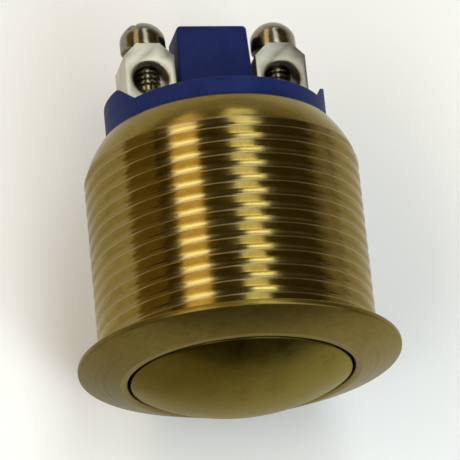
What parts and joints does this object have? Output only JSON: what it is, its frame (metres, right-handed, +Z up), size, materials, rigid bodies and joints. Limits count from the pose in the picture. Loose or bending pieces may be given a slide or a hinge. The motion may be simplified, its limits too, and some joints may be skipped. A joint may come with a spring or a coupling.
{
  "type": "doorbell button",
  "caption": "Panel-mounted bell push: a sprung, domed brass button in a flanged, threaded barrel, with a moulded base and screw terminals for the bell wires behind.",
  "frame": {"origin": "on the button's axis, at the flange's back face, where the panel sits", "axes": "+Y along the thread from the flange to the terminals, so the button faces -Y; +X across the two terminals; +Z up"},
  "size_m": [0.022, 0.0284, 0.022],
  "materials": {
    "barrel_brass": "satin flange, bright thread",
    "button_brass": "satin, a little dulled",
    "plunger_plastic": "natural nylon",
    "contact_bronze": "stamped strip",
    "contact_silver": "silvered",
    "spring_steel": "drawn wire",
    "base_plastic": "moulded, dull",
    "terminal_nickel": "dull nickel plate",
    "screw_nickel": "bright nickel plate"
  },
  "bodies": {
    "housing": {"barrel": "barrel_brass", "base": "base_plastic", "terminal_block_left": "terminal_nickel", "terminal_block_right": "terminal_nickel", "fixed_contact_left": "contact_bronze", "fixed_contact_right": "contact_bronze", "fixed_tip_left": "contact_silver", "fixed_tip_right": "contact_silver", "return_spring": "spring_steel"},
    "button": {"push_button": "button_brass", "plunger": "plunger_plastic", "contact_bridge": "contact_bronze", "bridge_tip_left": "contact_silver", "bridge_tip_right": "contact_silver"},
    "screw_left": {"terminal_screw_left": "screw_nickel"},
    "screw_right": {"terminal_screw_right": "screw_nickel"}
  },
  "joints": [
    {"name": "button_press", "type": "slide", "parent": "housing", "child": "button", "axis": [0, 1, 0], "range_m": [0, 0.0015], "stiffness_N_per_m": 1100, "springref_m": -0.0018, "deforming": ["return_spring"]},
    {"name": "screw_left_undo", "type": "slide", "parent": "housing", "child": "screw_left", "axis": [0, 1, 0], "range_m": [0, 0.002]},
    {"name": "screw_right_undo", "type": "slide", "parent": "housing", "child": "screw_right", "axis": [0, 1, 0], "range_m": [0, 0.002]}
  ]
}
